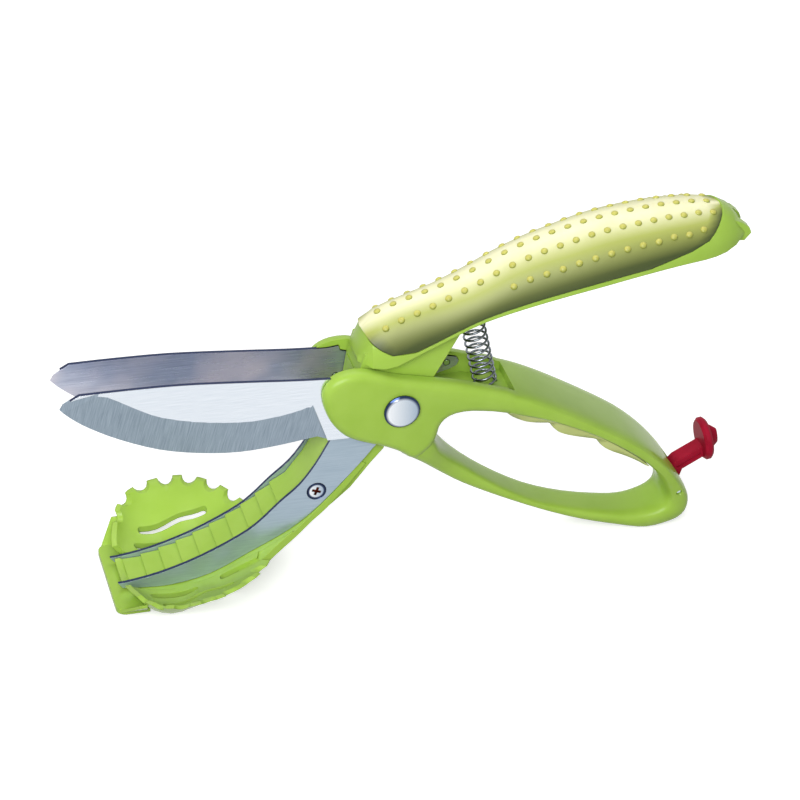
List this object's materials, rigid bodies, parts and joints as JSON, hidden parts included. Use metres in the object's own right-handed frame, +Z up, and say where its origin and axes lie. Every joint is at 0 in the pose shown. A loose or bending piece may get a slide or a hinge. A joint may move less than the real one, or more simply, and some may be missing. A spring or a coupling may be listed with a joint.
{
  "type": "salad scissors",
  "caption": "Salad scissors with two flat knives that close onto a serving scoop, a looped lower handle, a sprung upper grip and a hinged rear latch.",
  "frame": {"origin": "centre of the bounding box at the table", "axes": "+X from the knife tips to the handles, +Y across, from the bolt head to the nut, +Z up"},
  "size_m": [0.2834, 0.09, 0.1548],
  "materials": {
    "green_plastic": "glossy lime green moulding",
    "cream_rubber": "soft matte with raised dots",
    "olive_rubber": "soft matte",
    "knife_steel": "polished face with a brushed ground edge",
    "polished_steel": "polished",
    "red_plastic": "satin crimson moulding",
    "white_nylon": "plain"
  },
  "bodies": {
    "loop_frame": {"loop_handle": "green_plastic", "finger_pad": "olive_rubber", "knife_near": "knife_steel", "knife_far": "knife_steel", "pivot_bolt": "polished_steel", "pivot_nut": "polished_steel", "pivot_sleeve": "polished_steel", "washer_near": "white_nylon", "washer_far": "white_nylon", "tang_pin_near_front": "polished_steel", "tang_pin_near_rear": "polished_steel", "tang_pin_far_front": "polished_steel", "tang_pin_far_rear": "polished_steel", "return_spring": "polished_steel", "latch_pin": "polished_steel"},
    "scoop_lever": {"scoop_and_grip": "green_plastic", "soft_grip": "cream_rubber", "counter_blade_near": "knife_steel", "counter_blade_far": "knife_steel", "blade_screw_near": "polished_steel", "blade_screw_far": "polished_steel"},
    "latch_body": {"latch": "red_plastic"}
  },
  "joints": [
    {"name": "squeeze", "type": "hinge", "parent": "loop_frame", "child": "scoop_lever", "pos_m": [-0.0046, 0, 0.0806], "axis": [0, 1, 0], "range_deg": [0, 39.8], "stiffness_Nm_per_rad": 0.5, "springref_deg": -45.84, "deforming": ["return_spring"]},
    {"name": "latch_swing", "type": "hinge", "parent": "loop_frame", "child": "latch_body", "pos_m": [0.12017, 0, 0.01946], "axis": [0, 1, 0], "range_deg": [-12, 10]}
  ]
}
